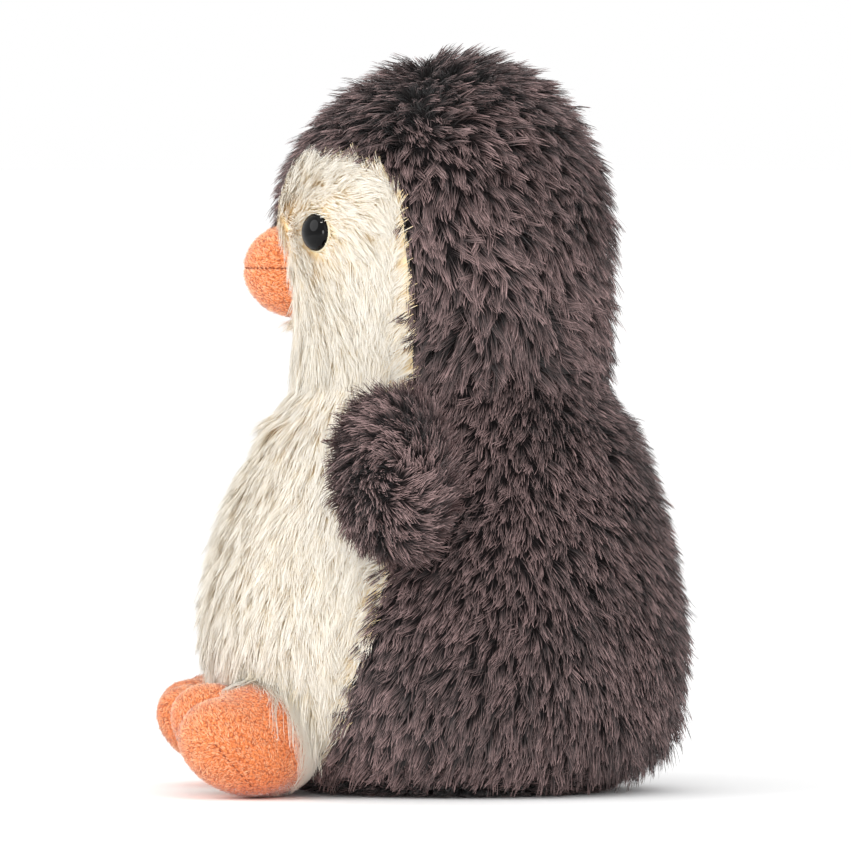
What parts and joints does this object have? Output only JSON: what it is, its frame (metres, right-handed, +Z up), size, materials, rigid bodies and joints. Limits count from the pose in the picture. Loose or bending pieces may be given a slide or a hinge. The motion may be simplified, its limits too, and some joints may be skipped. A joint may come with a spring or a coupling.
{
  "type": "plush penguin",
  "caption": "Seated soft toy penguin with long-pile fabric panels, stuffed wings and feet, a fabric beak, locking eyes and a head that turns and nods.",
  "frame": {"origin": "centre of the bounding box on the surface the toy sits on", "axes": "+Z up, the toy faces -Y, its left side is +X"},
  "size_m": [0.1858, 0.1637, 0.227],
  "materials": {
    "charcoal_pile": "matte",
    "cream_pile": "matte",
    "orange_pile": "matte",
    "eye": "gloss",
    "washer": "satin",
    "stuffing": "matte",
    "pouch": "matte",
    "beads": "satin"
  },
  "bodies": {
    "torso": {"belly_panel": "cream_pile", "back_panel_left": "charcoal_pile", "back_panel_right": "charcoal_pile", "base_panel": "charcoal_pile", "torso_stuffing": "stuffing", "bead_pouch": "pouch", "bead_filling": "beads"},
    "neck": {"neck_stuffing": "stuffing"},
    "head": {"hood_panel_left": "charcoal_pile", "hood_panel_right": "charcoal_pile", "face_panel_left": "cream_pile", "face_panel_right": "cream_pile", "beak_upper": "orange_pile", "beak_lower": "orange_pile", "beak_stuffing": "stuffing", "eye_left": "eye", "eye_right": "eye", "eye_washer_left": "washer", "eye_washer_right": "washer", "head_stuffing": "stuffing"},
    "left_wing": {"wing_front_left": "charcoal_pile", "wing_rear_left": "charcoal_pile", "wing_stuffing_left": "stuffing"},
    "right_wing": {"wing_front_right": "charcoal_pile", "wing_rear_right": "charcoal_pile", "wing_stuffing_right": "stuffing"},
    "left_foot": {"foot_upper_left": "orange_pile", "foot_sole_left": "orange_pile", "foot_stuffing_left": "stuffing"},
    "right_foot": {"foot_upper_right": "orange_pile", "foot_sole_right": "orange_pile", "foot_stuffing_right": "stuffing"}
  },
  "joints": [
    {"name": "neck_turn", "type": "hinge", "parent": "torso", "child": "neck", "pos_m": [0, 0.009, 0.101], "axis": [0, 0, 1], "range_deg": [-20, 20], "stiffness_Nm_per_rad": 0.2},
    {"name": "head_nod", "type": "hinge", "parent": "neck", "child": "head", "pos_m": [0, 0.009, 0.101], "axis": [1, 0, 0], "range_deg": [-8, 8], "stiffness_Nm_per_rad": 1.2},
    {"name": "left_wing_swing", "type": "hinge", "parent": "torso", "child": "left_wing", "pos_m": [0.05728, -0.0096, 0.09892], "axis": [-0.2953, 0, 0.9554], "range_deg": [-25, 25], "stiffness_Nm_per_rad": 0.02},
    {"name": "right_wing_swing", "type": "hinge", "parent": "torso", "child": "right_wing", "pos_m": [-0.05728, -0.0096, 0.09892], "axis": [-0.2953, 0, -0.9554], "range_deg": [-25, 25], "stiffness_Nm_per_rad": 0.02},
    {"name": "left_foot_lift", "type": "hinge", "parent": "torso", "child": "left_foot", "pos_m": [0.036, -0.053, 0.0355], "axis": [-0.9397, -0.342, 0], "range_deg": [0, 20], "stiffness_Nm_per_rad": 0.05},
    {"name": "right_foot_lift", "type": "hinge", "parent": "torso", "child": "right_foot", "pos_m": [-0.036, -0.053, 0.0355], "axis": [-0.9397, 0.342, 0], "range_deg": [0, 20], "stiffness_Nm_per_rad": 0.05}
  ]
}
